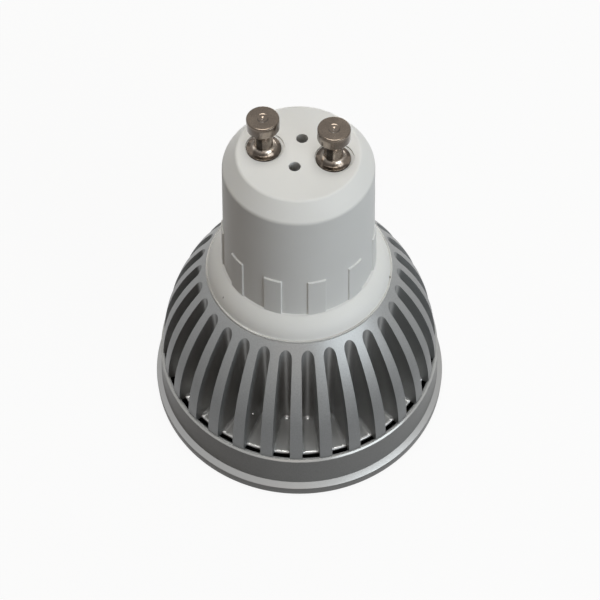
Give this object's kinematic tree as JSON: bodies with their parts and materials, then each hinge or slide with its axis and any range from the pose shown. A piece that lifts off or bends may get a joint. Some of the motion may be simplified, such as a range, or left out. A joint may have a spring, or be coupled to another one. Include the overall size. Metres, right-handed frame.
{
  "type": "spot lamp",
  "caption": "Reflector-size LED spot lamp: slotted die-cast heat sink with front ring and lens, white plastic base and twist-lock contact pins.",
  "frame": {"origin": "middle of the front ring's flat face, on which the lamp stands", "axes": "+Z along the lamp's axis from the front ring to the contact pins; +X and +Y across the lamp"},
  "size_m": [0.05, 0.05, 0.0628],
  "materials": {
    "cast_aluminium": "satin, sandy die-cast skin",
    "ring_aluminium": "turned satin with bright edges",
    "white_plastic": "fine moulded matt",
    "frosted_lens": "frosted",
    "pin_nickel": "dull nickel plate",
    "lamp_board_white": "white solder mask",
    "chip_phosphor": "silicone over phosphor",
    "pad_silicone": "soft matt",
    "screw_steel": "zinc plated",
    "board_green": "solder mask",
    "ferrite": "sintered, matt",
    "coil_tape": "wound tape",
    "can_sleeve": "shrunk sleeve",
    "resistor_lacquer": "lacquer",
    "black_epoxy": "moulded epoxy",
    "film_case": "dipped lacquer",
    "lead_tin": "tinned wire",
    "wire_red": "wire insulation",
    "wire_black": "wire insulation"
  },
  "bodies": {
    "root": {"lens_ring": "ring_aluminium", "lens": "frosted_lens", "heat_sink": "cast_aluminium", "thermal_pad": "pad_silicone", "lamp_board": "lamp_board_white", "lamp_chips": "chip_phosphor", "fixing_screws": "screw_steel", "base_sleeve": "white_plastic", "base_cap": "white_plastic", "contact_pin_right": "pin_nickel", "contact_pin_left": "pin_nickel", "pin_lead_right": "lead_tin", "pin_lead_left": "lead_tin", "driver_board": "board_green", "lamp_lead_positive": "wire_red", "lamp_lead_negative": "wire_black", "transformer_core": "ferrite", "transformer_coil": "coil_tape", "input_capacitor": "can_sleeve", "output_capacitor": "can_sleeve", "input_choke": "ferrite", "fuse_resistor": "resistor_lacquer", "bridge_rectifier": "black_epoxy", "driver_chip": "black_epoxy", "output_diode": "black_epoxy", "film_capacitor": "film_case"}
  },
  "joints": []
}
